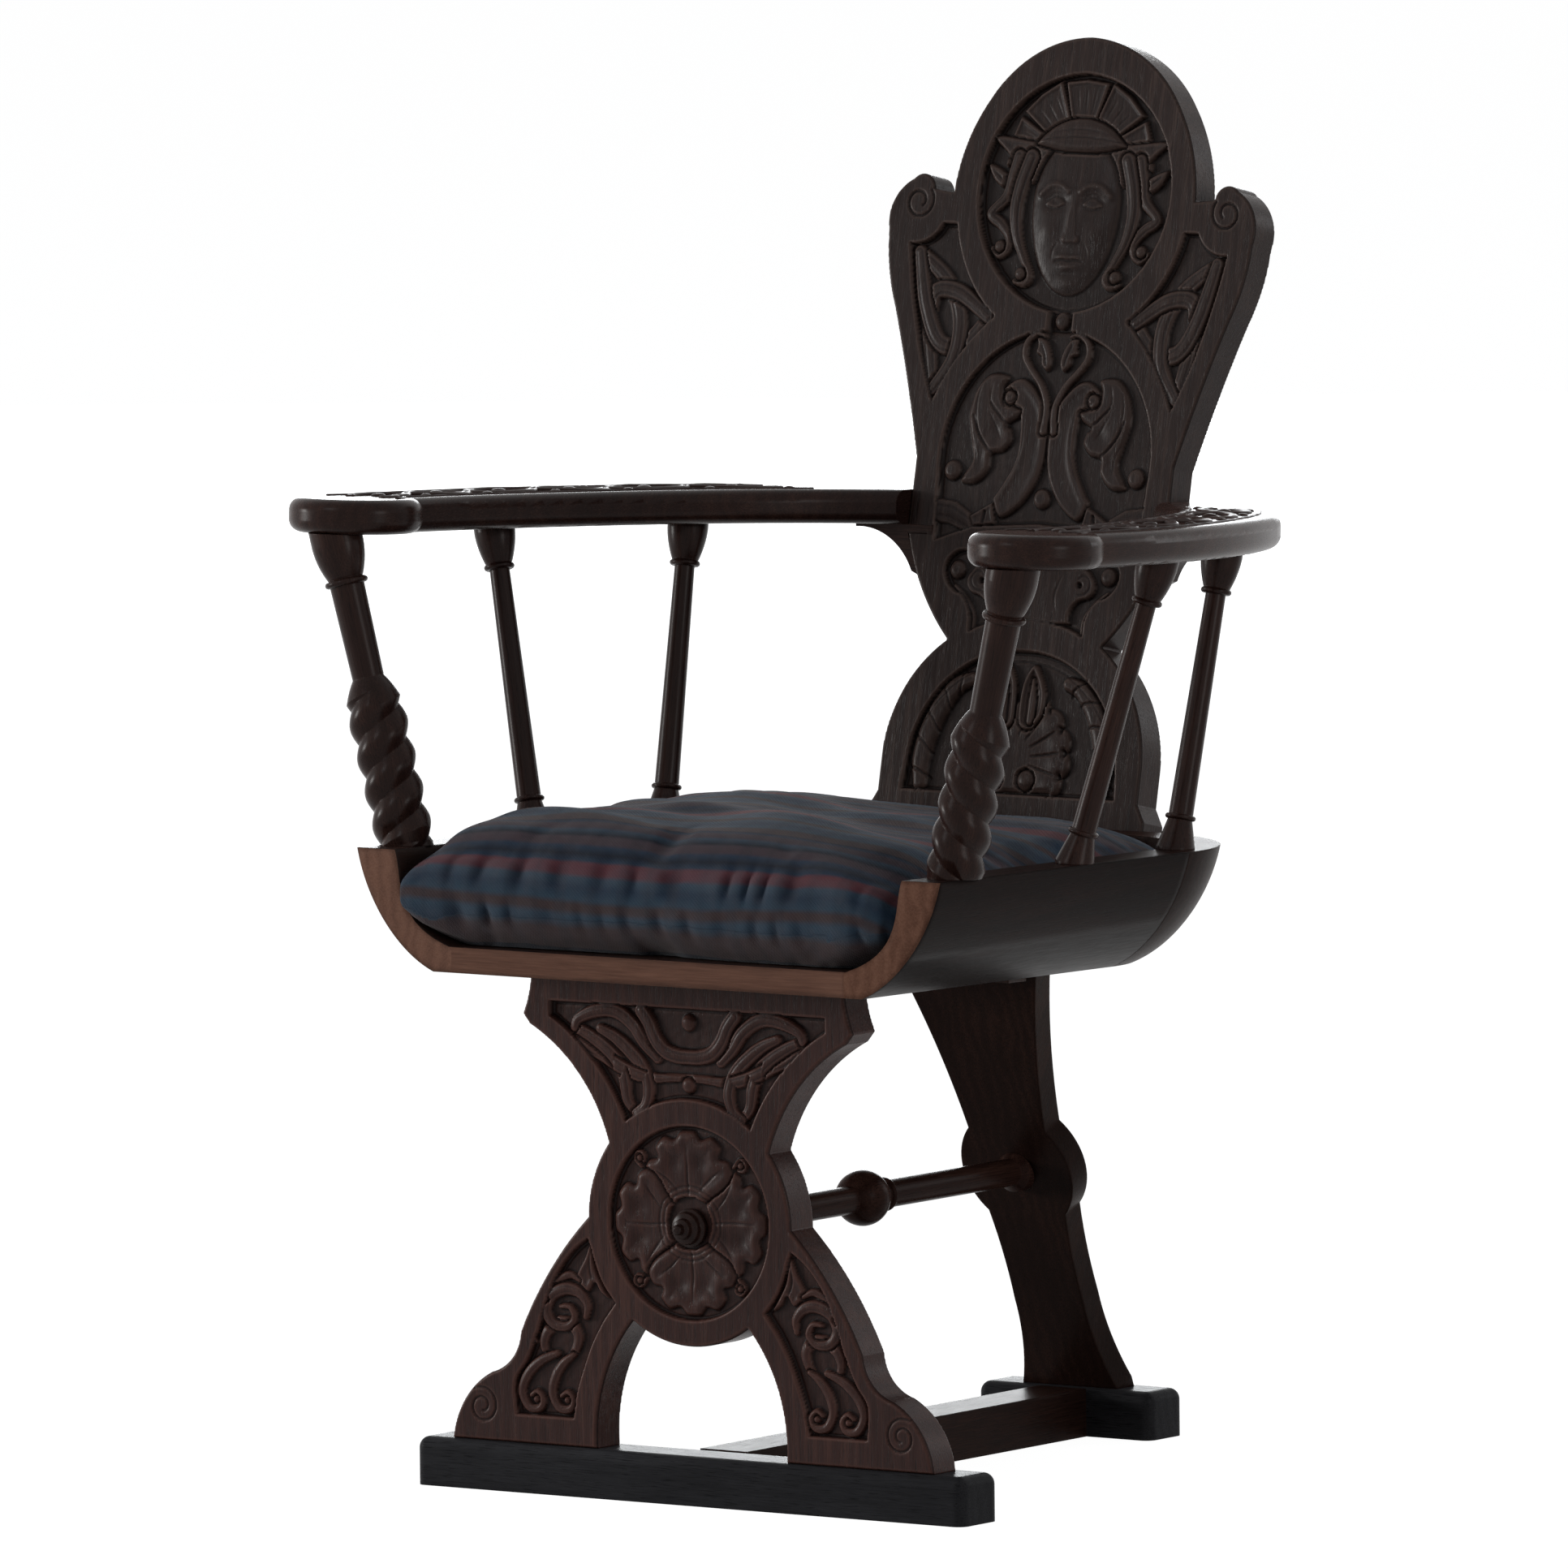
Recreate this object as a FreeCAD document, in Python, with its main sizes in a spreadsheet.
import FreeCAD, Part
import math
import os
import Sketcher

# Carved oak armchair with a scooped seat, a tall shaped back board and two end supports.
# Frame: +Z up, front towards -Y, the sitter's left side towards +X, millimetres.
# The origin lies on the floor, on the centre line, midway between the front of the
# front foot rail and the rear of the rear foot.

VECTOR = FreeCAD.Vector
X_AXIS = VECTOR(1, 0, 0)
Y_AXIS = VECTOR(0, 1, 0)
Z_AXIS = VECTOR(0, 0, 1)

SIZES = {
    # Feet on the floor
    "base_depth": 560.0,
    "foot_height": 38.0,
    "foot_edge_radius": 9.0,
    "front_foot_half_length": 259.6,
    "front_foot_depth": 50.4,
    "rear_foot_half_length": 83.0,
    "rear_foot_depth": 48.2,
    "floor_rail_width": 45.0,
    "foot_tenon_length": 20.0,
    "foot_tenon_width": 26.0,
    "foot_tenon_height": 20.0,
    "joint_clearance": 0.15,
    "overrun": 20.0,
    # Front support, a carved board on the front foot
    "panel_setback": 6.1,
    "panel_thickness": 33.0,
    "panel_half_width": 227.8,
    "ring_height": 219.0,
    "stretcher_height": 215.5,
    "ring_outer_radius": 95.9,
    "ring_inner_radius": 76.2,
    "carving_depth": 5.0,
    "panel_tenon_offset": 150.0,
    "panel_tenon_width": 56.0,
    "panel_tenon_thickness": 14.0,
    "panel_tenon_depth": 18.0,
    # Rear support, a plain narrow board that leans forward
    "rear_leg_slope_share": 0.4,
    "rear_leg_setback": 10.5,
    "rear_leg_thickness": 22.0,
    "rear_leg_top_half_width": 76.0,
    "rear_leg_boss_radius": 51.5,
    "rear_leg_shin_half_width": 33.0,
    "rear_leg_toe_half_width": 45.0,
    "rear_tenon_half_width": 24.0,
    "rear_tenon_thickness": 11.0,
    # Turned stretcher between the two supports
    "stretcher_radius": 11.0,
    "stretcher_ball_radius": 22.0,
    "stretcher_ball_reach": 201.5,
    "stretcher_bead_radius": 13.5,
    "stretcher_bead_length": 6.0,
    "stretcher_collar_radius": 16.0,
    "stretcher_collar_length": 10.0,
    "stretcher_tenon_radius": 7.0,
    "stretcher_tenon_depth": 14.0,
    "button_radius": 15.0,
    "button_length": 22.0,
    "button_socket_depth": 9.0,
    # Scooped seat, built up from a bottom board and five wall pieces
    "seat_overhang": 52.0,
    "seat_underside_height": 409.0,
    "seat_slope_share": 0.021,
    "seat_wall_height": 93.0,
    "seat_top_half_width": 276.0,
    "seat_taper": 6.0,
    "seat_top_depth": 484.0,
    "seat_bottom_inset_width": 73.0,
    "seat_bottom_inset_depth": 37.0,
    "seat_top_corner_radius": 138.0,
    "seat_bottom_corner_radius": 101.0,
    "seat_floor_thickness": 20.0,
    "seat_rim_width": 34.0,
    "seat_floor_inset_width": 88.0,
    "seat_floor_inset_depth": 60.0,
    "seat_floor_corner_radius": 84.0,
    "seat_board_inset_width": 90.0,
    "seat_board_inset_depth": 64.0,
    "seat_board_corner_radius": 84.0,
    "seat_dowel_radius": 4.0,
    "seat_dowel_length": 44.0,
    "cleat_half_length": 62.0,
    "cleat_width": 24.0,
    "cleat_height": 24.0,
    # Back board, leaning back from the rear rim
    "back_slope_share": 0.217,
    "back_thickness": 30.0,
    "back_start_height": 430.0,
    "back_rise_share": 2.1996,
    "back_half_width": 173.5,
    "back_joint_half_width": 123.0,
    "back_foot_half_width": 132.0,
    "back_waist_half_width": 73.8,
    "back_housing_depth": 3.0,
    "screw_radius": 2.5,
    "screw_head_radius": 4.6,
    "back_screw_length": 43.0,
    "cleat_screw_length": 38.0,
    "screw_head_length": 3.0,
    "screw_bite": 14.0,
    # Turned posts and spindles between the seat rim and the arms
    "post_setback": 42.0,
    "post_inset": 16.7,
    "post_spread_share": 0.256,
    "post_forward_share": -0.019,
    "post_twist_radius": 23.0,
    "post_twist_root_radius": 18.5,
    "post_twist_length": 126.0,
    "post_twist_lead": 53.0,
    "post_neck_radius": 12.4,
    "post_neck_top_radius": 13.6,
    "post_ring_radius": 17.0,
    "post_ring_length": 5.0,
    "post_capital_radius": 20.5,
    "post_capital_length": 36.5,
    "post_tenon_radius": 10.0,
    "front_spindle_setback": 207.7,
    "front_spindle_inset": 18.5,
    "front_spindle_spread_share": 0.2481,
    "front_spindle_back_share": 0.1384,
    "rear_spindle_rear_inset_depth": 119.4,
    "rear_spindle_inset": 32.0,
    "rear_spindle_spread_share": 0.0478,
    "rear_spindle_back_share": 0.229,
    "spindle_top_radius": 7.9,
    "spindle_low_radius": 9.6,
    "spindle_ring_radius": 12.0,
    "spindle_ring_length": 4.0,
    "spindle_capital_radius": 16.2,
    "spindle_capital_length": 31.0,
    "spindle_foot_radius": 15.5,
    "spindle_foot_length": 27.0,
    "spindle_tenon_radius": 6.5,
    "tenon_depth": 15.0,
    # Arms
    "arm_front_height": 741.2,
    "arm_slope_share": 0.046,
    "arm_thickness": 27.0,
    "arm_width": 92.0,
    "arm_front_shift_in": 5.5,
    "arm_shift_forward": 7.0,
    "arm_edge_radius": 10.0,
    "arm_pad_radius": 52.0,
    "arm_pad_spread": 1.0,
    "arm_pad_setback": 27.7,
    "arm_end_half_width": 34.0,
    "arm_dowel_radius": 5.0,
    "arm_dowel_length": 36.0,
    "arm_dowel_spacing": 16.0,
    "bracket_reach": 49.0,
    "bracket_height": 44.0,
    "bracket_thickness": 24.0,
    # Loose cushion
    "cushion_clearance": 0.5,
    "cushion_height": 98.0,
    "cushion_side_inset_width": 47.0,
    "cushion_rear_inset_depth": 32.0,
    "cushion_front_overhang": 10.0,
    "cushion_taper": 7.0,
    "cushion_front_corner_radius": 60.0,
    "cushion_rear_corner_radius": 90.0,
    "cushion_side_draw": 7.0,
}

DOC = FreeCAD.newDocument("chair")
SHEET = DOC.addObject("Spreadsheet::Sheet", "dims")
NODES = {}


class Size:
    """A number with the sheet formula that gives it."""

    def __init__(self, number, formula=None):
        self.number = float(number)
        self.formula = formula if formula is not None else repr(float(number))

    def joined(self, other, sign, number):
        other = as_size(other)
        return Size(number(self.number, other.number), "(%s %s %s)" % (self.formula, sign, other.formula))

    def __add__(self, other):
        return self.joined(other, "+", lambda a, b: a + b)

    def __radd__(self, other):
        return as_size(other) + self

    def __sub__(self, other):
        return self.joined(other, "-", lambda a, b: a - b)

    def __rsub__(self, other):
        return as_size(other) - self

    def __mul__(self, other):
        return self.joined(other, "*", lambda a, b: a * b)

    def __rmul__(self, other):
        return as_size(other) * self

    def __truediv__(self, other):
        return self.joined(other, "/", lambda a, b: a / b)

    def __neg__(self):
        return Size(-self.number, "(-%s)" % self.formula)

    def __float__(self):
        return self.number


def as_size(value):
    return value if isinstance(value, Size) else Size(value)


def fill_sheet():
    for row, (alias, number) in enumerate(SIZES.items(), start=1):
        SHEET.set("A%d" % row, alias)
        SHEET.set("B%d" % row, str(number))
        SHEET.setAlias("B%d" % row, alias)
    DOC.recompute()


def dim(alias):
    return Size(getattr(SHEET, alias), "dims.%s" % alias)


def num(alias):
    return float(getattr(SHEET, alias))


def origin_plane(body, role):
    return next(plane for plane in body.Origin.OriginFeatures if plane.Role == role)


def new_body(name):
    return DOC.addObject("PartDesign::Body", name)


def new_sketch(body, role, name):
    """An empty sketch on one of the body's own origin planes."""
    sketch = body.newObject("Sketcher::SketchObject", name)
    sketch.AttachmentSupport = (origin_plane(body, role), [""])
    sketch.MapMode = "FlatFace"
    return sketch


def bind_point(sketch, geometry, corner, point, rules):
    """Hold one point at its two coordinates, each bound to the sheet."""
    for kind, axis, coordinate in (("DistanceX", -2, point[0]), ("DistanceY", -1, point[1])):
        size = as_size(coordinate)
        if size.number == 0:
            rules.append((Sketcher.Constraint("PointOnObject", geometry, corner, axis), None))
        elif size.number > 0:
            rule = Sketcher.Constraint(kind, -1, 1, geometry, corner, size.number)
            rules.append((rule, size.formula))
        else:
            rule = Sketcher.Constraint(kind, geometry, corner, -1, 1, -size.number)
            rules.append((rule, "-(%s)" % size.formula))


def flat(point):
    return VECTOR(float(point[0]), float(point[1]), 0)


def turns_left(start, middle, end):
    return (middle - start).cross(end - middle).z > 0


def draw_outline(sketch, start, steps):
    """A closed outline of straight steps (end,) and arc steps (middle, end)."""
    rules = []
    point = start
    ends = []
    for step in steps:
        end = step[-1]
        if len(step) == 1:
            line = sketch.addGeometry(Part.LineSegment(flat(point), flat(end)), False)
            ends.append((line, 1, 2))
        else:
            first, middle, last = flat(point), flat(step[0]), flat(end)
            left = turns_left(first, middle, last)
            arc = Part.Arc(first, middle, last) if left else Part.Arc(last, middle, first)
            curve = sketch.addGeometry(arc, False)
            ends.append((curve, 1, 2) if left else (curve, 2, 1))
            marker = sketch.addGeometry(Part.Point(middle), True)
            bind_point(sketch, marker, 1, step[0], rules)
            rules.append((Sketcher.Constraint("PointOnObject", marker, 1, curve), None))
        bind_point(sketch, ends[-1][0], ends[-1][2], end, rules)
        point = end
    for before, after in zip(ends, ends[1:] + ends[:1]):
        rules.append((Sketcher.Constraint("Coincident", before[0], before[2], after[0], after[1]), None))
    return hold(sketch, rules)


def hold(sketch, rules):
    """Add the rules, each dimension bound to its sheet formula where it has one."""
    sketch.addConstraint([rule for rule, formula in rules])
    for index, (rule, formula) in enumerate(rules):
        if formula is not None and "dims." in formula:
            sketch.setExpression("Constraints[%d]" % index, formula)
    return sketch


def draw_circle(sketch, centre, radius):
    radius = as_size(radius)
    circle = sketch.addGeometry(Part.Circle(flat(centre), Z_AXIS, radius.number), False)
    rules = [(Sketcher.Constraint("Radius", circle, radius.number), radius.formula)]
    bind_point(sketch, circle, 3, centre, rules)
    return hold(sketch, rules)


def other_side(point):
    return -as_size(point[0]), point[1]


def mirrored(start, steps):
    """Close a half outline, drawn from its start up to the centre line, with its mirror image."""
    points = [start] + [step[-1] for step in steps]
    back_steps = []
    for index in range(len(steps) - 1, -1, -1):
        middle = [other_side(steps[index][0])] if len(steps[index]) == 2 else []
        back_steps.append(tuple(middle + [other_side(points[index])]))
    return start, steps + back_steps + ([(start,)] if float(start[0]) != 0 else [])


def pad(body, sketch, length, reverse=False, both=False):
    feature = body.newObject("PartDesign::Pad", sketch.Name + "_pad")
    feature.Profile = sketch
    feature.setExpression("Length", as_size(length).formula)
    feature.Reversed = reverse
    feature.Midplane = both
    body.Tip = feature
    return feature


def pocket(body, sketch, depth, reverse=False):
    feature = body.newObject("PartDesign::Pocket", sketch.Name + "_pocket")
    feature.Profile = sketch
    feature.setExpression("Length", as_size(depth).formula)
    feature.Reversed = reverse
    body.Tip = feature
    return feature


def soften(body, base, edges, radius):
    feature = body.newObject("PartDesign::Fillet", base.Name + "_rounding")
    feature.Base = (base, edges)
    feature.setExpression("Radius", as_size(radius).formula)
    body.Tip = feature
    return feature


def revolved(name, profile):
    """A turned piece about its own Z axis, from (radius, height) steps off the axis."""
    body = new_body(name)
    start, steps = profile
    sketch = draw_outline(new_sketch(body, "XZ_Plane", name + "_profile"), start, steps)
    feature = body.newObject("PartDesign::Revolution", name + "_turning")
    feature.Profile = sketch
    feature.ReferenceAxis = (sketch, ["V_Axis"])
    feature.Angle = 360.0
    body.Tip = feature
    return body


def lofted(body, sketches, cut=False, ruled=False):
    kind = "PartDesign::SubtractiveLoft" if cut else "PartDesign::AdditiveLoft"
    feature = body.newObject(kind, sketches[0].Name + "_loft")
    feature.Profile = sketches[0]
    feature.Sections = sketches[1:]
    feature.Ruled = ruled
    body.Tip = feature
    return feature


def boolean(kind, name, first, second):
    result = DOC.addObject("Part::" + kind, name)
    result.Base = first
    result.Tool = second
    return result


def united(name, pieces):
    result = DOC.addObject("Part::MultiFuse", name)
    result.Shapes = pieces
    return result


def grouped(name, pieces):
    result = DOC.addObject("Part::Compound", name)
    result.Links = pieces
    return result


def opposite(name, source):
    """The mirror image of a piece on the other side of the chair."""
    result = DOC.addObject("Part::Mirroring", name)
    result.Source = source
    result.Normal = X_AXIS
    return result


def rod(name, radius, length, placement):
    piece = DOC.addObject("Part::Cylinder", name)
    piece.setExpression("Radius", as_size(radius).formula)
    piece.setExpression("Height", as_size(length).formula)
    piece.Placement = placement
    return piece


def block(name, corner, sizes, placement=None):
    """A box from its low corner, in a frame that a placement may turn."""
    piece = DOC.addObject("Part::Box", name)
    for side, size in zip(("Length", "Width", "Height"), sizes):
        piece.setExpression(side, as_size(size).formula)
    local = FreeCAD.Placement(VECTOR(*[float(value) for value in corner]), FreeCAD.Rotation())
    piece.Placement = local if placement is None else placement.multiply(local)
    return piece


def aimed(base, direction):
    return FreeCAD.Placement(base, FreeCAD.Rotation(Z_AXIS, direction))


def leaning(base, slope):
    """A frame at a base point whose Z axis leans towards +Y by a slope and whose X axis stays level."""
    return FreeCAD.Placement(base, FreeCAD.Rotation(X_AXIS, -math.degrees(math.atan(slope))))


def keep(node, piece):
    piece.Label = node
    NODES[node] = piece
    return piece


fill_sheet()

# Places worked out from the sizes
FRONT = -num("base_depth") / 2
REAR = num("base_depth") / 2
FOOT_TOP = num("foot_height")
PANEL_FACE = FRONT + num("panel_setback")
PANEL_BACK = PANEL_FACE + num("panel_thickness")
SEAT_FRONT = PANEL_FACE - num("seat_overhang")
SEAT_SLOPE = num("seat_slope_share")
SEAT_FRAME = leaning(VECTOR(0, SEAT_FRONT, num("seat_underside_height")), SEAT_SLOPE)
REAR_LEG_FACE = REAR - num("rear_foot_depth") + num("rear_leg_setback")
CLEARANCE = dim("joint_clearance")
OVERRUN = dim("overrun")


def seat_point(across, back, height):
    """A point of the chair given in the sloping frame of the seat."""
    return SEAT_FRAME.multVec(VECTOR(float(across), float(back), float(height)))


def rim_point(across, back):
    return seat_point(across, back, num("seat_wall_height"))


def rear_leg_place():
    return leaning(VECTOR(0, REAR_LEG_FACE, FOOT_TOP), -num("rear_leg_slope_share"))


def back_face(height):
    """Depth of the back board's front face at a height above the floor."""
    start = rim_point(0, num("seat_top_depth"))
    return start.y - num("back_housing_depth") + (height - start.z) * num("back_slope_share")


def back_place():
    height = num("back_start_height")
    return leaning(VECTOR(0, back_face(height), height), num("back_slope_share"))


def back_length():
    """Length of the back board, which grows with the height of the arms that join it."""
    return (dim("arm_front_height") - dim("back_start_height")) * dim("back_rise_share")


def arm_underside(depth):
    """Height of the arms' underside at a depth of the chair."""
    return num("arm_front_height") - (depth - PANEL_FACE) * num("arm_slope_share")


def post_axis(setback, inset, spread, back):
    """Foot on the seat rim, head under the arm, unit direction and length of a turned upright."""
    foot = rim_point(num("seat_top_half_width") - num(inset), setback)
    step = VECTOR(num(spread), num(back), 1)
    rise = arm_underside(foot.y) - foot.z
    climb = rise / (step.z + step.y * num("arm_slope_share"))
    head = foot + step * climb
    return foot, head, step.normalize(), (head - foot).Length


POST = post_axis(num("post_setback"), "post_inset", "post_spread_share", "post_forward_share")
FRONT_SPINDLE = post_axis(num("front_spindle_setback"), "front_spindle_inset",
                          "front_spindle_spread_share", "front_spindle_back_share")
REAR_SPINDLE = post_axis(num("seat_top_depth") - num("rear_spindle_rear_inset_depth"), "rear_spindle_inset",
                         "rear_spindle_spread_share", "rear_spindle_back_share")


def secant(alias):
    """Length along a slope for each unit of height."""
    share = num(alias)
    return Size(math.sqrt(1 + share * share), "sqrt(1 + dims.%s ^ 2)" % alias)


def chord(radius, half):
    """Reach from a circle's centre to where it crosses a given half width."""
    number = math.sqrt(float(radius) ** 2 - float(half) ** 2)
    return Size(number, "sqrt(%s ^ 2 - %s ^ 2)" % (radius.formula, half.formula))


def slab(name, corners, half_width):
    """A body across the chair whose side view, as (depth, height), has the given corners."""
    body = new_body(name)
    sketch = new_sketch(body, "YZ_Plane", name + "_side")
    draw_outline(sketch, corners[0], [(corner,) for corner in corners[1:] + corners[:1]])
    pad(body, sketch, 2 * half_width, both=True)
    return body


def seat_plane(depth, height):
    """Height above the floor of the plane parallel to the seat, at a depth of the chair."""
    base = seat_point(0, 0, height)
    return base.z - (depth - base.y) * SEAT_SLOPE


def make_spaces():
    """The two clear spaces that trim the supports and the uprights where they meet the seat and arms."""
    near = SEAT_FRONT - num("overrun")
    far = REAR + num("overrun")
    below = slab("under_seat_space", [(near, FOOT_TOP), (far, FOOT_TOP), (far, seat_plane(far, 0)),
                                      (near, seat_plane(near, 0))], dim("front_foot_half_length"))
    rim = num("seat_wall_height")
    above = slab("arm_space", [(near, seat_plane(near, rim)), (far, seat_plane(far, rim)),
                               (far, arm_underside(far)), (near, arm_underside(near))],
                 dim("seat_top_half_width") * 2)
    return below, above


def foot(name, half_length, depth, front):
    """A bar on the floor whose top and upright edges are rounded."""
    body = new_body(name)
    near = as_size(front)
    far = near + depth
    sketch = new_sketch(body, "XY_Plane", name + "_plan")
    draw_outline(sketch, (-half_length, near), [((half_length, near),), ((half_length, far),),
                                                ((-half_length, far),), ((-half_length, near),)])
    bar = pad(body, sketch, dim("foot_height"))
    DOC.recompute()
    edges = ["Edge%d" % index for index, edge in enumerate(bar.Shape.Edges, start=1)
             if edge.CenterOfMass.z > num("foot_height") / 4]
    soften(body, bar, edges, dim("foot_edge_radius"))
    return body


def make_base():
    """Front foot, rear foot and the floor rail that is tenoned into both."""
    front_depth = dim("front_foot_depth")
    rear_depth = dim("rear_foot_depth")
    front = foot("front_foot_bar", dim("front_foot_half_length"), front_depth,
                 Size(FRONT, "(-dims.base_depth / 2)"))
    rear = foot("rear_foot_bar", dim("rear_foot_half_length"), rear_depth,
                Size(REAR, "(dims.base_depth / 2)") - rear_depth)
    start = FRONT + num("front_foot_depth")
    length = dim("base_depth") - front_depth - rear_depth
    half = num("floor_rail_width") / 2
    rail = block("floor_rail_bar", (-half, start, 0), (dim("floor_rail_width"), length, dim("foot_height")))
    reach = num("foot_tenon_length")
    width = num("foot_tenon_width")
    height = num("foot_tenon_height")
    low = (FOOT_TOP - height) / 2
    tongue = block("floor_rail_tongue", (-width / 2, start - reach, low),
                   (dim("foot_tenon_width"), length + 2 * dim("foot_tenon_length"), dim("foot_tenon_height")))
    gap = float(CLEARANCE)
    mortise = block("floor_rail_mortise", (-width / 2 - gap, start - reach - gap, low - gap),
                    (dim("foot_tenon_width") + 2 * CLEARANCE,
                     length + 2 * dim("foot_tenon_length") + 2 * CLEARANCE,
                     dim("foot_tenon_height") + 2 * CLEARANCE))
    keep("floor_rail", united("floor_rail", [rail, tongue]))
    return front, rear, mortise


def panel_corner(across_share, up_share):
    """A corner of the front support as shares of its half width and of its height above the foot."""
    rise = dim("seat_underside_height") - dim("foot_height")
    return dim("panel_half_width") * across_share, dim("foot_height") + rise * up_share


def ring_corner(across_share, up_share, spread_share=1):
    """A point about the carved ring, as shares of its outer radius."""
    radius = dim("ring_outer_radius") * spread_share
    return radius * across_share, dim("ring_height") + radius * up_share


PANEL_LEG_SHARES = ((0.364, 0.146), (0.395, 0))
PANEL_SCROLL_SHARES = ((0.584, 0.372), (0.711, 0.236)), ((0.746, 0.181), (0.834, 0.1455))
PANEL_TOE_SHARES = ((0.939, 0.094), (1, 0))
PANEL_SHOULDER_SHARES = ((0.43, 0.7655), (0.658, 0.884))
PANEL_NIB_SHARES = ((0.687, 0.906), (0.662, 0.95), (0.65, 1))
PANEL_HEAD_SHARES = ((0.369, 0.8), (0.579, 0.903), (0.566, 0.943))
PANEL_SHIN_SHARES = ((0.426, 0.162), (0.4565, 0.0485), (0.694, 0.0485), (0.68, 0.14), (0.65, 0.226),
                     (0.544, 0.337))
RING_FOOT_SHARES = ((0.3, -0.954), (0.57, -0.8216))
RING_WAIST_SHARES = ((0.927, 0.375), (0.79, 0.613))
RING_HEAD_SHARES = ((0.31, 0.951), (0.6, 0.8))
RING_SHIN_SHARES = ((0.93, -0.37), (0.83, -0.558), (0.7, -0.714))
RING_MARGIN_SHARE = 1.04


def draw_front_panel(sketch):
    leg, toe = PANEL_LEG_SHARES, PANEL_TOE_SHARES
    calf, ankle = PANEL_SCROLL_SHARES
    nib = PANEL_NIB_SHARES
    half = [
        (ring_corner(*RING_FOOT_SHARES[0]), ring_corner(*RING_FOOT_SHARES[1])),
        (panel_corner(*leg[0]), panel_corner(*leg[1])),
        (panel_corner(*toe[1]),),
        (panel_corner(*toe[0]), panel_corner(*ankle[1])),
        (panel_corner(*ankle[0]), panel_corner(*calf[1])),
        (panel_corner(*calf[0]), ring_corner(1, 0)),
        (ring_corner(*RING_WAIST_SHARES[0]), ring_corner(*RING_WAIST_SHARES[1])),
        (panel_corner(*PANEL_SHOULDER_SHARES[0]), panel_corner(*PANEL_SHOULDER_SHARES[1])),
        (panel_corner(*nib[0]),),
        (panel_corner(*nib[1]), panel_corner(*nib[2])),
        (panel_corner(0, 1),),
    ]
    draw_outline(sketch, *mirrored(ring_corner(0, -1), half))


def draw_panel_head(sketch):
    """The sunk ground above the ring."""
    arc, corner, top = PANEL_HEAD_SHARES
    half = [
        (ring_corner(*RING_HEAD_SHARES[0]), ring_corner(*RING_HEAD_SHARES[1])),
        (panel_corner(*arc), panel_corner(*corner)),
        (panel_corner(*top),),
        (panel_corner(0, top[1]),),
    ]
    draw_outline(sketch, *mirrored(ring_corner(0, 1), half))


def draw_panel_shin(sketch, side):
    """The sunk ground in one leg; side is 1 for the sitter's left."""
    ring = [ring_corner(*share, RING_MARGIN_SHARE) for share in RING_SHIN_SHARES]
    shin = [panel_corner(*share) for share in PANEL_SHIN_SHARES]
    ring = [(x * side, z) for x, z in ring]
    shin = [(x * side, z) for x, z in shin]
    steps = [(ring[1], ring[2]), (shin[0], shin[1]), (shin[2],), (shin[3], shin[4]), (shin[5], ring[0])]
    draw_outline(sketch, ring[0], steps)


def make_front_panel(below):
    """The carved front support with its two foot tenons."""
    body = new_body("front_panel_board")
    body.Placement = FreeCAD.Placement(VECTOR(0, PANEL_FACE, 0), FreeCAD.Rotation())
    outline = new_sketch(body, "XZ_Plane", "front_panel_outline")
    draw_front_panel(outline)
    pad(body, outline, dim("panel_thickness"), reverse=True)
    head = new_sketch(body, "XZ_Plane", "front_panel_head")
    draw_panel_head(head)
    pocket(body, head, dim("carving_depth"))
    ring = new_sketch(body, "XZ_Plane", "front_panel_ring")
    draw_circle(ring, (0, dim("ring_height")), dim("ring_inner_radius"))
    pocket(body, ring, dim("carving_depth"))
    for side, name in ((1, "left"), (-1, "right")):
        shin = new_sketch(body, "XZ_Plane", "front_panel_shin_" + name)
        draw_panel_shin(shin, side)
        pocket(body, shin, dim("carving_depth"))
    trimmed = boolean("Common", "front_panel_trimmed", body, below)
    tenons = []
    mortises = []
    width, thickness, depth = num("panel_tenon_width"), num("panel_tenon_thickness"), num("panel_tenon_depth")
    gap = float(CLEARANCE)
    middle = PANEL_FACE + num("panel_thickness") / 2
    for side, name in ((1, "left"), (-1, "right")):
        low = side * num("panel_tenon_offset") - width / 2
        tenons.append(block("panel_tenon_" + name, (low, middle - thickness / 2, FOOT_TOP - depth),
                            (dim("panel_tenon_width"), dim("panel_tenon_thickness"), dim("panel_tenon_depth"))))
        mortises.append(block("panel_mortise_" + name,
                              (low - gap, middle - thickness / 2 - gap, FOOT_TOP - depth - gap),
                              (dim("panel_tenon_width") + 2 * CLEARANCE,
                               dim("panel_tenon_thickness") + 2 * CLEARANCE,
                               dim("panel_tenon_depth") + OVERRUN)))
    return united("front_panel_tenoned", [trimmed] + tenons), mortises


REAR_LEG_ANKLE_SHARES = ((0.844, 0.06), (0.733, 0.19))
REAR_LEG_CALF_SHARE = 0.28
REAR_LEG_THIGH_SHARES = (0.58, 0.703)
BOSS_JOIN_SHARE = 0.71


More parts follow.
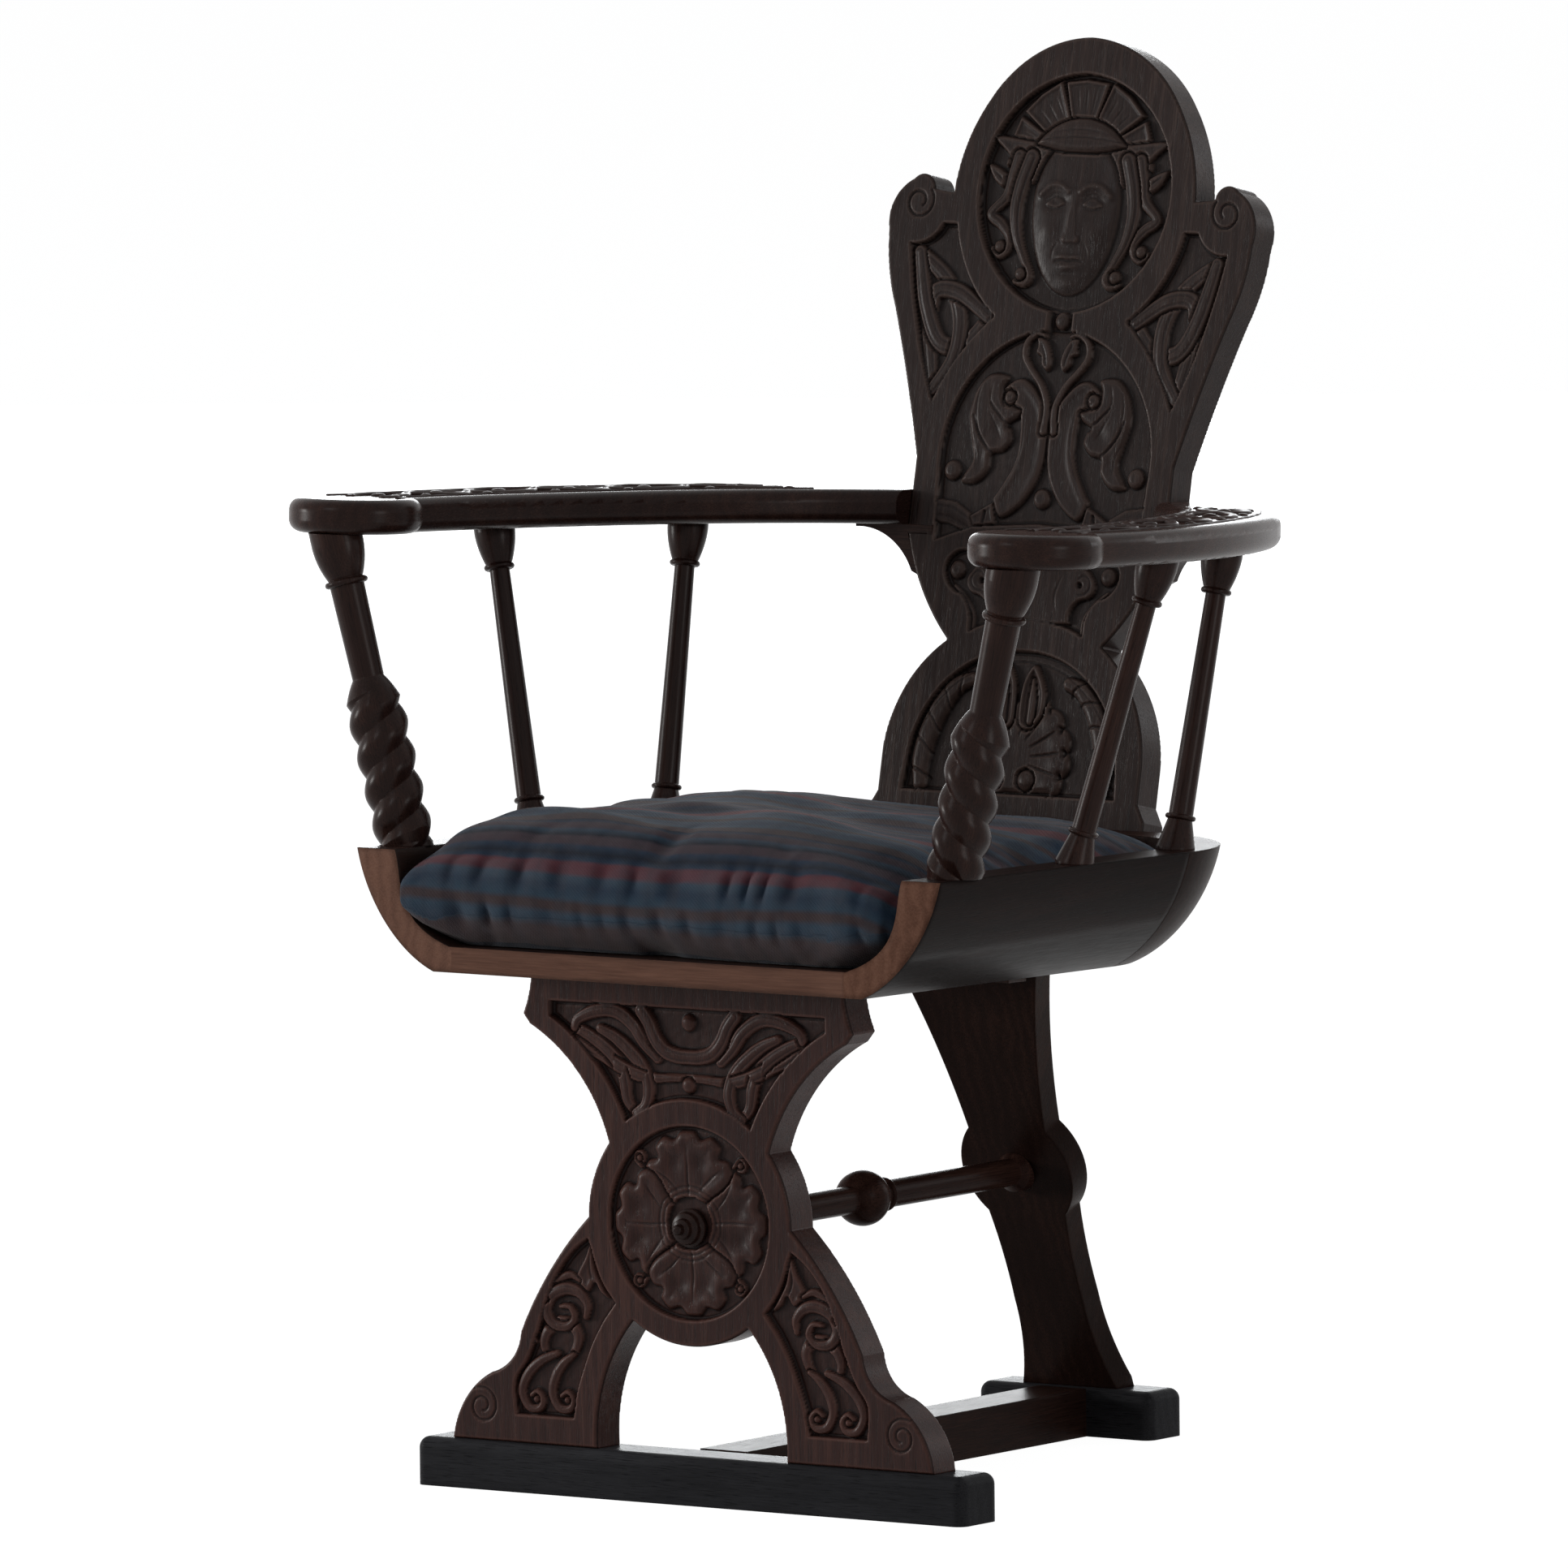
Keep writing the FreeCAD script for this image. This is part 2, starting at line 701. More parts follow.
def make_rear_leg(below):
    """The plain rear support: flared foot, round boss for the stretcher, and a widening top."""
    body = new_body("rear_leg_board")
    body.Placement = rear_leg_place()
    toe, shin = dim("rear_leg_toe_half_width"), dim("rear_leg_shin_half_width")
    boss, thigh = dim("rear_leg_boss_radius"), dim("rear_leg_top_half_width")
    stretch = secant("rear_leg_slope_share")
    centre = (dim("stretcher_height") - dim("foot_height")) * stretch
    top = (dim("seat_underside_height") - dim("foot_height")) * stretch
    join = boss * BOSS_JOIN_SHARE
    half = [
        ((toe, Size(0)),),
        tuple((toe * out, top * up) for out, up in REAR_LEG_ANKLE_SHARES),
        ((shin, top * REAR_LEG_CALF_SHARE), (join, centre - join)),
        ((boss, centre), (join, centre + join)),
        ((thigh * REAR_LEG_THIGH_SHARES[0], top * REAR_LEG_THIGH_SHARES[1]), (thigh, top)),
        ((thigh, top + OVERRUN),),
        ((Size(0), top + OVERRUN),),
    ]
    outline = new_sketch(body, "XZ_Plane", "rear_leg_outline")
    draw_outline(outline, *mirrored((toe, -OVERRUN), half))
    pad(body, outline, dim("rear_leg_thickness"), reverse=True)
    trimmed = boolean("Common", "rear_leg_trimmed", body, below)
    half_width, thickness = num("rear_tenon_half_width"), num("rear_tenon_thickness")
    depth = num("panel_tenon_depth")
    gap = float(CLEARANCE)
    near = REAR_LEG_FACE + (num("rear_leg_thickness") - thickness) / 2
    tenon = block("rear_leg_tenon", (-half_width, near, FOOT_TOP - depth),
                  (2 * dim("rear_tenon_half_width"), dim("rear_tenon_thickness"), dim("panel_tenon_depth")))
    mortise = block("rear_leg_mortise", (-half_width - gap, near - gap, FOOT_TOP - depth - gap),
                    (2 * dim("rear_tenon_half_width") + 2 * CLEARANCE,
                     dim("rear_tenon_thickness") + 2 * CLEARANCE, dim("panel_tenon_depth") + OVERRUN))
    return united("rear_leg_tenoned", [trimmed, tenon]), mortise


def rear_leg_face(height):
    return REAR_LEG_FACE - (height - FOOT_TOP) * num("rear_leg_slope_share")


def along_y(base, forwards=True):
    return aimed(base, Y_AXIS if forwards else -Y_AXIS)


def bored(name, piece, tools):
    return boolean("Cut", name, piece, tools[0] if len(tools) == 1 else united(name + "_holes", tools))


def make_stretcher(rear_leg):
    """Turned stretcher through both supports, and the stepped button that caps it in front."""
    height = num("stretcher_height")
    length = rear_leg_face(height) - PANEL_BACK
    radius, ball = dim("stretcher_radius"), dim("stretcher_ball_radius")
    middle = dim("stretcher_ball_reach")
    reach = chord(ball, radius)
    bead, collar = dim("stretcher_bead_radius"), dim("stretcher_collar_radius")
    bead_start = middle + reach + dim("stretcher_bead_length")
    bead_end = bead_start + dim("stretcher_bead_length")
    collar_start = Size(length) - dim("stretcher_collar_length")
    end = Size(length) + OVERRUN / 2
    none = Size(0)
    steps = [((radius, none),), ((radius, middle - reach),), ((ball, middle), (radius, middle + reach)),
             ((radius, bead_start),),
             ((bead, (bead_start + bead_end) / 2), (radius, bead_end)),
             ((radius, collar_start),), ((collar, collar_start + (collar - radius)),), ((collar, end),),
             ((none, end),), ((none, none),)]
    turned = revolved("stretcher_turning", ((none, none), steps))
    turned.Placement = along_y(VECTOR(0, PANEL_BACK, height))
    trimmed = boolean("Cut", "stretcher_trimmed", turned, rear_leg)
    ground = PANEL_FACE + num("carving_depth")
    start = ground - num("button_socket_depth")
    finish = rear_leg_face(height) + num("stretcher_tenon_depth")
    core_length = Size(finish - start)
    core = rod("stretcher_core", dim("stretcher_tenon_radius"), core_length,
               along_y(VECTOR(0, start, height)))
    hole = rod("stretcher_hole", dim("stretcher_tenon_radius") + CLEARANCE, core_length + 2 * CLEARANCE,
               along_y(VECTOR(0, start - float(CLEARANCE), height)))
    keep("stretcher", united("stretcher", [trimmed, core]))
    r, tall = dim("button_radius"), dim("button_length")
    steps = [((r, none),)]
    for outer, low in BUTTON_STEP_SHARES:
        steps.append(((r * outer, tall * low),))
    steps.append(tuple((r * out, tall * up) for out, up in BUTTON_TIP_SHARES))
    steps += [((none, tall),), ((none, none),)]
    button = revolved("button_turning", ((none, none), steps))
    button.Placement = along_y(VECTOR(0, ground, height), forwards=False)
    keep("stretcher_button", bored("stretcher_button", button, [hole]))
    return hole


BUTTON_STEP_SHARES = ((1, 0.2), (0.86, 0.27), (0.8, 0.45), (0.56, 0.5),
                      (0.5, 0.68), (0.3, 0.72), (0.28, 0.86))
BUTTON_TIP_SHARES = ((0.23, 0.95), (0.12, 1))


SEAT_PROFILE_SHARES = ((0, 0), (0.075, 0.19), (0.27, 0.5), (0.6, 0.81), (1, 1))
SEAT_HOLLOW_SHARES = ((0, 0), (0.09, 0.3), (0.29, 0.66), (0.6, 0.86), (1.05, 1))
QUARTER_TURN_SHARE = 1 - math.sqrt(0.5)


def seat_outline(sketch, half_width, depth, radius, start):
    """Plan of the seat: open-ended front, tapering sides, rounded rear corners."""
    rear_half = half_width - dim("seat_taper")
    bend = radius * QUARTER_TURN_SHARE
    half = [
        ((rear_half, depth - radius),),
        ((rear_half - bend, depth - bend), (rear_half - radius, depth)),
        ((Size(0), depth),),
    ]
    draw_outline(sketch, *mirrored((half_width, start), half))


def blend_sizes(low, high, share):
    return low + (high - low) * share


def seat_sections(body, name, low, high, base, rise, shares, start):
    sketches = []
    for index, (up, out) in enumerate(shares):
        sketch = new_sketch(body, "XY_Plane", "%s_%d" % (name, index))
        height = base + rise * up
        sketch.AttachmentOffset = FreeCAD.Placement(VECTOR(0, 0, float(height)), FreeCAD.Rotation())
        sketch.setExpression("AttachmentOffset.Base.z", height.formula)
        sizes = [blend_sizes(first, last, out) for first, last in zip(low, high)]
        seat_outline(sketch, *sizes, start)
        sketches.append(sketch)
    return sketches


def seat_plan_sizes(level):
    """Half width, depth and corner radius of the seat's plan at a level below its rim."""
    return (dim("seat_top_half_width") - dim("seat_%s_inset_width" % level),
            dim("seat_top_depth") - dim("seat_%s_inset_depth" % level), dim("seat_%s_corner_radius" % level))


def make_seat():
    """Bottom board and the five wall pieces of the scooped seat."""
    body = new_body("seat_tub")
    body.Placement = SEAT_FRAME
    wall, floor, rim = dim("seat_wall_height"), dim("seat_floor_thickness"), dim("seat_rim_width")
    low = seat_plan_sizes("bottom")
    high = (dim("seat_top_half_width"), dim("seat_top_depth"), dim("seat_top_corner_radius"))
    lofted(body, seat_sections(body, "seat_outside", low, high, Size(0), wall, SEAT_PROFILE_SHARES, Size(0)))
    low = seat_plan_sizes("floor")
    high = (high[0] - rim, high[1] - rim, high[2] - rim)
    inside = seat_sections(body, "seat_inside", low, high, floor, wall - floor, SEAT_HOLLOW_SHARES, -OVERRUN)
    lofted(body, inside, cut=True)
    board = new_body("seat_board_plan")
    board.Placement = SEAT_FRAME
    plan = new_sketch(board, "XY_Plane", "seat_board_outline")
    seat_outline(plan, *seat_plan_sizes("board"), -OVERRUN)
    pad(board, plan, wall)
    walls = boolean("Cut", "seat_walls", body, board)
    bottom = boolean("Common", "seat_bottom_piece", body, board)
    half_width, depth, radius = seat_plan_sizes("bottom")
    split_x = half_width - radius
    split_y = depth - radius
    reach = dim("seat_top_half_width")
    tall = wall + 2 * OVERRUN
    over = float(OVERRUN)
    side_box = block("seat_side_box", (float(split_x), -over, -over), (reach, split_y + OVERRUN, tall),
                     SEAT_FRAME)
    corner_box = block("seat_corner_box", (float(split_x), float(split_y), -over),
                       (reach, dim("seat_top_depth"), tall), SEAT_FRAME)
    rear_box = block("seat_rear_box", (-float(split_x), float(split_y), -over),
                     (2 * split_x, dim("seat_top_depth"), tall), SEAT_FRAME)
    side = boolean("Common", "seat_side_piece", walls, side_box)
    corner = boolean("Common", "seat_corner_piece", walls, corner_box)
    rear = boolean("Common", "seat_rear_piece", walls, rear_box)
    return side, corner, rear, bottom, float(split_x), float(split_y)


BACK_FOOT_SHARES = (0.103, 0.123, 0.156)
BACK_CHEEK_SHARE = 0.715
BACK_LOBE_SHARES = (0.645, 0.237)
BACK_WAIST_SHARE = 0.3012
BACK_HIP_SHARES = (0.599, 0.358)
BACK_JOINT_SHARES = (0.427, 0.511)
BACK_FLARE_SHARES = ((0.798, 0.589), (0.922, 0.68))
BACK_EAR_SHARES = (((0.984, 0.73), (1, 0.767)), ((0.98, 0.808), (0.893, 0.8283)),
                   ((0.822, 0.8316), (0.669, 0.8202)))
BACK_CROWN_SHARES = (((0.612, 0.879), (0.507, 0.929)), ((0.288, 0.98), (0, 1)))
BACK_OVAL_SHARES = ((0, 0.679), (0.53, 0.818), (0, 0.9585))
BACK_ARCH_SHARES = ((0, 0.421), (0.594, 0.421), (0.594, 0.508), (0.42, 0.615), (0, 0.66))
BACK_KNOT_SHARES = ((0.8645, 0.748), (0.6686, 0.7714), (0.582, 0.7188), (0.392, 0.669), (0.565, 0.6158),
                    (0.657, 0.5727), (0.784, 0.6574))
BACK_HEART_SHARES = ((0, 0.311), (0.12, 0.3085), (0.25, 0.345), (0.485, 0.374), (0.485, 0.397),
                     (0.25, 0.404), (0, 0.4))
BACK_SHELL_SHARES = ((0, 0.1256), (0.588, 0.1256), (0.44, 0.2425), (0, 0.2925))


def back_corner(across_share, up_share):
    """A point of the back board as shares of its half width and of its length."""
    return dim("back_half_width") * across_share, back_length() * up_share


def draw_back(sketch):
    foot_half, joint = dim("back_foot_half_width"), dim("back_joint_half_width")
    waist = dim("back_waist_half_width")
    length = back_length()
    rim, flare, cheek = [length * share for share in BACK_FOOT_SHARES]
    side = dim("back_half_width") * BACK_CHEEK_SHARE
    half = [
        ((foot_half, rim),),
        ((side, flare),),
        ((side, cheek),),
        (back_corner(*BACK_LOBE_SHARES), (waist, length * BACK_WAIST_SHARE)),
        (back_corner(*BACK_HIP_SHARES), (joint, length * BACK_JOINT_SHARES[0])),
        ((joint, length * BACK_JOINT_SHARES[1]),),
        tuple(back_corner(*share) for share in BACK_FLARE_SHARES),
    ]
    for arc in BACK_EAR_SHARES + BACK_CROWN_SHARES:
        half.append(tuple(back_corner(*share) for share in arc))
    draw_outline(sketch, *mirrored((foot_half, Size(0)), half))


def make_back():
    """The carved back board with its sunk grounds, still without holes."""
    body = new_body("back_board_blank")
    body.Placement = back_place()
    outline = new_sketch(body, "XZ_Plane", "back_outline")
    draw_back(outline)
    pad(body, outline, dim("back_thickness"), reverse=True)
    grounds = []
    low, side, high = [back_corner(*share) for share in BACK_OVAL_SHARES]
    grounds.append(("oval", mirrored(low, [(side, high)])))
    start, right, spring, haunch, crown = [back_corner(*share) for share in BACK_ARCH_SHARES]
    grounds.append(("arch", mirrored(start, [(right,), (spring,), (haunch, crown)])))
    heart = [back_corner(*share) for share in BACK_HEART_SHARES]
    grounds.append(("heart", mirrored(heart[0], [(heart[1],), (heart[2], heart[3]),
                                                 (heart[4],), (heart[5], heart[6])])))
    start, right, haunch, crown = [back_corner(*share) for share in BACK_SHELL_SHARES]
    grounds.append(("shell", mirrored(start, [(right,), (haunch, crown)])))
    for side, name in ((1, "left"), (-1, "right")):
        knot = [(x * side, z) for x, z in [back_corner(*share) for share in BACK_KNOT_SHARES]]
        steps = [(knot[1],), (knot[2], knot[3]), (knot[4], knot[5]), (knot[6], knot[0])]
        grounds.append(("knot_" + name, (knot[0], steps)))
    for name, (start, steps) in grounds:
        ground = new_sketch(body, "XZ_Plane", "back_" + name)
        draw_outline(ground, start, steps)
        pocket(body, ground, dim("carving_depth"))
    return body


def upright_socket(name, axis, radius_alias):
    foot_point, _, step, length = axis
    depth = num("tenon_depth") + float(CLEARANCE)
    reach = Size(length) + 2 * dim("tenon_depth") + 2 * CLEARANCE
    return rod(name + "_socket", dim(radius_alias) + CLEARANCE, reach,
               aimed(foot_point - step * depth, step))


def finish_upright(name, turned, axis, radius_alias, space):
    """Trim a turning to the rim and the arm, and add the round tenons at both ends."""
    foot_point, _, step, length = axis
    trimmed = boolean("Common", name + "_trimmed", turned, space)
    depth = num("tenon_depth")
    core = rod(name + "_tenons", dim(radius_alias), Size(length) + 2 * dim("tenon_depth"),
               aimed(foot_point - step * depth, step))
    left = keep(name + "_left", united(name + "_left", [trimmed, core]))
    keep(name + "_right", opposite(name + "_right", left))


def spindle_profile(length):
    """Bell foot, ring, tapering shaft, ring and cup capital, as (radius, height)."""
    none, over = Size(0), dim("tenon_depth")
    top = Size(length)
    foot_r, foot_l = dim("spindle_foot_radius"), dim("spindle_foot_length")
    ring_r, ring_l = dim("spindle_ring_radius"), dim("spindle_ring_length")
    low_r, top_r = dim("spindle_low_radius"), dim("spindle_top_radius")
    cap_r, cap_l = dim("spindle_capital_radius"), dim("spindle_capital_length")
    ring_low = foot_l - ring_l
    neck = top - cap_l
    steps = [
        ((foot_r, -over),), ((foot_r, none),),
        ((blend_sizes(ring_r, foot_r, SPINDLE_BELL_SHARES[0]), foot_l * SPINDLE_BELL_SHARES[1]),
         (low_r, ring_low)),
        ((ring_r, ring_low + ring_l / 2), (low_r, foot_l)),
        ((top_r, neck - ring_l),),
        ((ring_r, neck - ring_l / 2), (blend_sizes(top_r, ring_r, SPINDLE_CUP_SHARES[0]), neck)),
        ((blend_sizes(ring_r, cap_r, SPINDLE_CUP_SHARES[1]), neck + cap_l * SPINDLE_CUP_SHARES[2]),
         (cap_r, neck + cap_l * SPINDLE_CUP_SHARES[3])),
        ((cap_r, top + over),), ((none, top + over),), ((none, -over),),
    ]
    return (none, -over), steps


SPINDLE_BELL_SHARES = (0.12, 0.45)
SPINDLE_CUP_SHARES = (0.6, 0.45, 0.35, 0.8)


def post_profile(length):
    """Shoulder above the twist, tapering neck, ring and capital, as (radius, height)."""
    none, over = Size(0), dim("tenon_depth")
    top = Size(length)
    twist = dim("post_twist_length")
    neck_r, neck_top = dim("post_neck_radius"), dim("post_neck_top_radius")
    ring_r, ring_l = dim("post_ring_radius"), dim("post_ring_length")
    cap_r, cap_l = dim("post_capital_radius"), dim("post_capital_length")
    ring_low = top - cap_l - ring_l
    start = twist * POST_CORE_SHARE
    steps = [
        ((neck_r, start),), ((neck_r, twist),), ((neck_top, ring_low),),
        ((ring_r, ring_low + ring_l / 2), (neck_top, ring_low + ring_l)),
        ((blend_sizes(neck_top, cap_r, POST_CAP_SHARES[0]), top - cap_l * POST_CAP_SHARES[1]),
         (cap_r, top - cap_l * POST_CAP_SHARES[2])),
        ((cap_r, top + over),), ((none, top + over),), ((none, start),),
    ]
    return (none, start), steps


POST_CORE_SHARE = 0.7
POST_CAP_SHARES = (0.72, 0.62, 0.25)
TWIST_SLEEVE_SHARES = ((0.9, 0), (1.02, 0.1), (1.02, 0.86), (0.86, 0.95))


def post_sleeve():
    """The outer form that rounds the twist off at both ends."""
    none, over = Size(0), dim("tenon_depth")
    radius, length = dim("post_twist_radius"), dim("post_twist_length")
    low, full, shoulder, cove = [(radius * out, length * up) for out, up in TWIST_SLEEVE_SHARES]
    steps = [((low[0], -over),), (low,), (full,), (shoulder,),
             (cove, (dim("post_neck_radius"), length + over / 2)),
             ((none, length + over / 2),), ((none, -over),)]
    return revolved("post_sleeve", ((none, -over), steps))


def twisted_core():
    """Two round strands wound about the post's axis, as one solid."""
    crest, root = num("post_twist_radius"), num("post_twist_root_radius")
    inner = root * root / crest
    strand = (crest + inner) / 2
    offset = (crest - inner) / 2
    half = [VECTOR(0, -root, 0), VECTOR(offset + strand, 0, 0), VECTOR(0, root, 0)]
    rest = [VECTOR(0, root, 0), VECTOR(-offset - strand, 0, 0), VECTOR(0, -root, 0)]
    section = Part.Wire([Part.Arc(*half).toShape(), Part.Arc(*rest).toShape()])
    low = -num("tenon_depth")
    height = num("post_twist_length") + 2 * num("tenon_depth")
    section.translate(VECTOR(0, 0, low))
    spine = Part.Wire(Part.makeLine(VECTOR(0, 0, low), VECTOR(0, 0, low + height)))
    guide = Part.makeHelix(num("post_twist_lead"), height, crest, 0, True)
    guide.translate(VECTOR(0, 0, low))
    sweep = Part.BRepOffsetAPI.MakePipeShell(spine)
    sweep.setAuxiliarySpine(Part.Wire(guide.Edges), True, 0)
    sweep.add(section)
    sweep.build()
    sweep.makeSolid()
    piece = DOC.addObject("Part::Feature", "post_strands")
    piece.Shape = sweep.shape()
    return piece


def make_uprights(space):
    for name, axis in (("front_spindle", FRONT_SPINDLE), ("rear_spindle", REAR_SPINDLE)):
        turned = revolved(name + "_turning", spindle_profile(axis[3]))
        turned.Placement = aimed(axis[0], axis[2])
        finish_upright(name, turned, axis, "spindle_tenon_radius", space)
    place = aimed(POST[0], POST[2])
    strands, sleeve = twisted_core(), post_sleeve()
    strands.Placement = place
    sleeve.Placement = place
    twist = boolean("Common", "post_twist", strands, sleeve)
    neck = revolved("post_neck", post_profile(POST[3]))
    neck.Placement = place
    finish_upright("twist_post", united("post_turning", [twist, neck]), POST, "post_tenon_radius", space)


def arm_place():
    return leaning(VECTOR(0, PANEL_FACE, num("arm_front_height")), num("arm_slope_share"))


def arm_joint():
    """Depth and height of the middle of the joint between an arm and the edge of the back board."""
    thickness = num("back_thickness") * float(secant("back_slope_share"))
    rise = num("arm_thickness") / 2
    slope, fall = num("back_slope_share"), num("arm_slope_share")
    start = back_face(0) + thickness / 2
    height = (num("arm_front_height") + rise - (start - PANEL_FACE) * fall) / (1 + slope * fall)
    return start + height * slope, height


ARM_WRIST_SHARE = 0.42


def onward(first, middle, last, end):
    """Middle of the arc that leaves a three-point arc smoothly at its last point and runs to an end."""
    curve = Part.Arc(first, middle, last)
    heading = curve.tangent(curve.LastParameter)[0]
    if heading.dot(last - middle) < 0:
        heading = curve.tangent(curve.FirstParameter)[0] * -1
    across = end - last
    turn = math.atan2(heading.cross(across).z, heading.dot(across))
    side = VECTOR(across.y, -across.x, 0)
    return (last + end) / 2 + side * math.tan(turn / 2) / 2


def make_arm(holes):
    """The arm on the sitter's left: a curved flat bar fused with a round hand rest."""
    place = arm_place()
    depth, height = arm_joint()
    joint = VECTOR(num("back_joint_half_width"), depth, height)
    marks = [place.inverse().multVec(point) for point in (POST[1], FRONT_SPINDLE[1], REAR_SPINDLE[1], joint)]
    pad_centre, front, rear, end = [VECTOR(point.x, point.y, 0) for point in marks]
    pad_centre += VECTOR(num("arm_pad_spread"), num("arm_pad_setback"), 0)
    front += VECTOR(-num("arm_front_shift_in"), -num("arm_shift_forward"), 0)
    rear += VECTOR(0, -num("arm_shift_forward"), 0)
    half = num("arm_width") / 2
    stations = []
    wrist = num("arm_width") * ARM_WRIST_SHARE
    for centre, before, after, reach in ((pad_centre, pad_centre, front, wrist), (front, pad_centre, rear, half),
                                         
                                         (rear, front, end, half)):
        along = (after - before).normalize()
        side = VECTOR(along.y, -along.x, 0) * reach
        stations.append((centre + side, centre - side))
    close = VECTOR(0, num("arm_end_half_width"), 0)
    stations.append((end + close, end - close))
    outer = [pair[0] for pair in stations]
    inner = [pair[1] for pair in stations]
    bows = [onward(*outer), onward(*inner)]
    steps = [(outer[0],), (outer[1], outer[2]), (bows[0], outer[3]), (inner[3],), (bows[1], inner[2]),
             (inner[1], inner[0])]
    body = new_body("arm_bar")
    body.Placement = place
    plan = new_sketch(body, "XY_Plane", "arm_plan")
    draw_outline(plan, (inner[0].x, inner[0].y),
                 [tuple((point.x, point.y) for point in step) for step in steps])
    bar = pad(body, plan, dim("arm_thickness"))
    DOC.recompute()
    edges = ["Edge%d" % index for index, edge in enumerate(bar.Shape.Edges, start=1)
             if edge.Curve.TypeId == "Part::GeomCircle"]
    soften(body, bar, edges, dim("arm_edge_radius"))
    r, tall, edge = dim("arm_pad_radius"), dim("arm_thickness"), dim("arm_edge_radius")
    none = Size(0)
    turn = edge * QUARTER_TURN_SHARE
    steps = [((r - edge, none),), ((r - turn, turn), (r, edge)), ((r, tall - edge),),
             ((r - turn, tall - turn), (r - edge, tall)), ((none, tall),), ((none, none),)]
    disc = revolved("arm_hand_rest", ((none, none), steps))
    disc.Placement = place.multiply(FreeCAD.Placement(pad_centre, FreeCAD.Rotation()))
    blank = united("arm_blank", [body, disc])
    left = keep("arm_left", bored("arm_left", blank, holes))
    keep("arm_right", opposite("arm_right", left))


def arm_dowels():
    """Dowels and their holes across the joint of an arm with the back board, on the sitter's left."""
    depth, height = arm_joint()
    length, radius = dim("arm_dowel_length"), dim("arm_dowel_radius")
    start = num("back_joint_half_width") - float(length) / 2
    dowels, holes = [], []
    for side in (-1, 1):
        base = VECTOR(start, depth + side * num("arm_dowel_spacing") / 2, height)
        name = "arm_dowel_%s" % ("front" if side < 0 else "rear")
        dowels.append(rod(name, radius, length, aimed(base, X_AXIS)))
        holes.append(rod(name + "_hole", radius + CLEARANCE, length + 2 * CLEARANCE,
                         aimed(base - X_AXIS * float(CLEARANCE), X_AXIS)))
    return dowels, holes


BRACKET_SHARES = ((1, -0.07), (0.35, -0.24), (-0.08, -0.82), (-0.25, -0.91))


def make_brackets(space, back):
    """The small corbel under each arm beside the back board."""
    joint_depth = arm_joint()[0]
    top = arm_underside(joint_depth)
    middle = top - num("bracket_height") / 2
    depth = back_face(middle) + num("back_thickness") * float(secant("back_slope_share")) / 2
    body = new_body("bracket_block")
    body.Placement = FreeCAD.Placement(VECTOR(0, depth, top), FreeCAD.Rotation())
    edge, reach, drop = dim("back_joint_half_width"), dim("bracket_reach"), dim("bracket_height")
    inner = edge - reach / 2
    points = [(edge + reach * out, drop * up) for out, up in BRACKET_SHARES]
    sketch = new_sketch(body, "XZ_Plane", "bracket_outline")
    over = OVERRUN / 2
    draw_outline(sketch, (inner, over), [((edge + reach, over),), (points[0],), (points[1], points[2]),
                                         (points[3],),
                                         ((inner, points[3][1]),), ((inner, over),)])
    pad(body, sketch, dim("bracket_thickness"), both=True)
    trimmed = boolean("Common", "bracket_trimmed", body, space)
    left = keep("arm_bracket_left", boolean("Cut", "arm_bracket_left", trimmed, back))
    keep("arm_bracket_right", opposite("arm_bracket_right", left))


SEAT_DOWEL_HEIGHT_SHARE = 0.66
SEAT_DOWEL_INSET_SHARE = 1.09


def seat_dowels(split_x, split_y):
    """Dowels and holes across the joints of the corner piece on the sitter's left."""
    height = num("seat_wall_height") * SEAT_DOWEL_HEIGHT_SHARE
    inset = num("seat_rim_width") * SEAT_DOWEL_INSET_SHARE
    length, radius = dim("seat_dowel_length"), dim("seat_dowel_radius")
    half = float(length) / 2
    side = num("seat_top_half_width") - num("seat_taper") / 2 - inset + num("seat_rim_width") / 4
    back = num("seat_top_depth") - inset + num("seat_rim_width") / 2
    rows = [("seat_dowel_side", (side, split_y - half, height), Y_AXIS),
            ("seat_dowel_rear", (split_x - half, back, height), X_AXIS)]
    dowels, holes = [], []
    for name, base, axis in rows:
        aim = SEAT_FRAME.multiply(aimed(VECTOR(*base), axis))
        dowels.append(rod(name, radius, length, aim))
        wide = SEAT_FRAME.multiply(aimed(VECTOR(*base) - axis * float(CLEARANCE), axis))
        holes.append(rod(name + "_hole", radius + CLEARANCE, length + 2 * CLEARANCE, wide))
    return dowels, holes


SCREW_ACROSS_SHARES = (-0.595, 0.595)
SCREW_UP_SHARES = (0.2429, 0.4711)


def wood_screw(name, place, length):
    """A plain wood screw, head at the origin of its place, and the hole that it needs."""
    radius = dim("screw_radius")
    head_r, head_l = dim("screw_head_radius"), dim("screw_head_length")
    screw = united(name, [rod(name + "_shank", radius, length, place),
                          rod(name + "_head", head_r, head_l, place)])
    wide = FreeCAD.Placement(place)
    over = num("overrun") / 2
    wide.Base = place.Base - place.Rotation.multVec(Z_AXIS) * over
    hole = united(name + "_hole", [
        rod(name + "_pilot", radius + CLEARANCE, length + OVERRUN / 2 + CLEARANCE, wide),
        rod(name + "_sink", head_r + CLEARANCE, head_l + OVERRUN / 2 + CLEARANCE, wide)])
    return screw, hole


